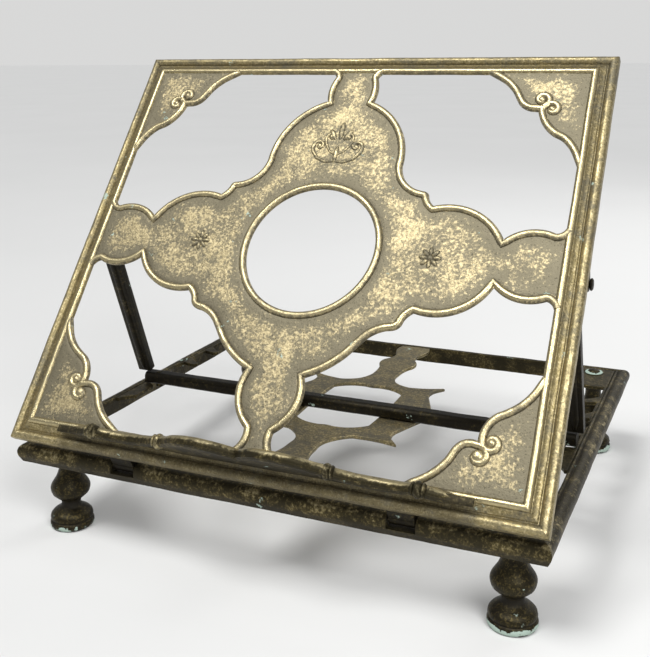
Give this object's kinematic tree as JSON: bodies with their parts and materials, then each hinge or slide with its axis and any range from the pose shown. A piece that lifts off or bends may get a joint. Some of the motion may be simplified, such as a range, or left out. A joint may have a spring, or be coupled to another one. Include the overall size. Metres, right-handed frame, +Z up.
{
  "type": "photo album stand",
  "caption": "Folding pierced cast-metal album stand: a framed desk with a ledge, hinged to a footed base and held by a swinging strut that stands in hooked racks.",
  "frame": {"origin": "on the table, under the middle of the stand's bounds", "axes": "+Z up, +Y from the front edge to the back, +X to the right as seen from the front"},
  "size_m": [0.3238, 0.3062, 0.2821],
  "materials": {
    "desk_brass": "aged cast brass, mottled, with worn bright edges",
    "base_bronze": "olive-brown aged cast brass",
    "worn_gold": "handled brass, brighter, with green in the hollows",
    "dark_bronze": "dark toned brass"
  },
  "bodies": {
    "base": {"base_front_rail": "base_bronze", "base_rear_rail": "base_bronze", "base_left_rail": "base_bronze", "base_right_rail": "base_bronze", "base_tracery": "base_bronze", "rack_left": "base_bronze", "hinge_pin_left": "dark_bronze", "rack_right": "base_bronze", "hinge_pin_right": "dark_bronze", "base_pad_front_left": "base_bronze", "foot_front_left": "worn_gold", "foot_screw_front_left": "worn_gold", "base_pad_rear_left": "base_bronze", "foot_rear_left": "worn_gold", "foot_screw_rear_left": "worn_gold", "base_pad_front_right": "base_bronze", "foot_front_right": "worn_gold", "foot_screw_front_right": "worn_gold", "base_pad_rear_right": "base_bronze", "foot_rear_right": "worn_gold", "foot_screw_rear_right": "worn_gold"},
    "desk": {"desk_bottom_rail": "desk_brass", "desk_top_rail": "desk_brass", "desk_left_rail": "desk_brass", "desk_right_rail": "desk_brass", "desk_cross": "desk_brass", "desk_ledge": "worn_gold", "desk_corner_top_left": "desk_brass", "desk_corner_bottom_left": "desk_brass", "hinge_lug_left": "dark_bronze", "strut_lug_left": "dark_bronze", "desk_corner_top_right": "desk_brass", "desk_corner_bottom_right": "desk_brass", "hinge_lug_right": "dark_bronze", "strut_lug_right": "dark_bronze"},
    "strut": {"strut_bar": "base_bronze", "strut_leg_left": "base_bronze", "strut_pivot_left": "dark_bronze", "strut_peg_left": "worn_gold", "strut_leg_right": "base_bronze", "strut_pivot_right": "dark_bronze", "strut_peg_right": "worn_gold"}
  },
  "joints": [
    {"name": "desk_fold", "type": "hinge", "parent": "base", "child": "desk", "pos_m": [0, -0.12243, 0.054], "axis": [1, 0, 0], "range_deg": [-38, 0]},
    {"name": "strut_swing", "type": "hinge", "parent": "desk", "child": "strut", "pos_m": [0, -0.04209, 0.16382], "axis": [1, 0, 0], "range_deg": [0, 118]}
  ],
  "couplings": [
    {"joint": "strut_swing", "follows": "desk_fold", "ratio": -3.1}
  ]
}
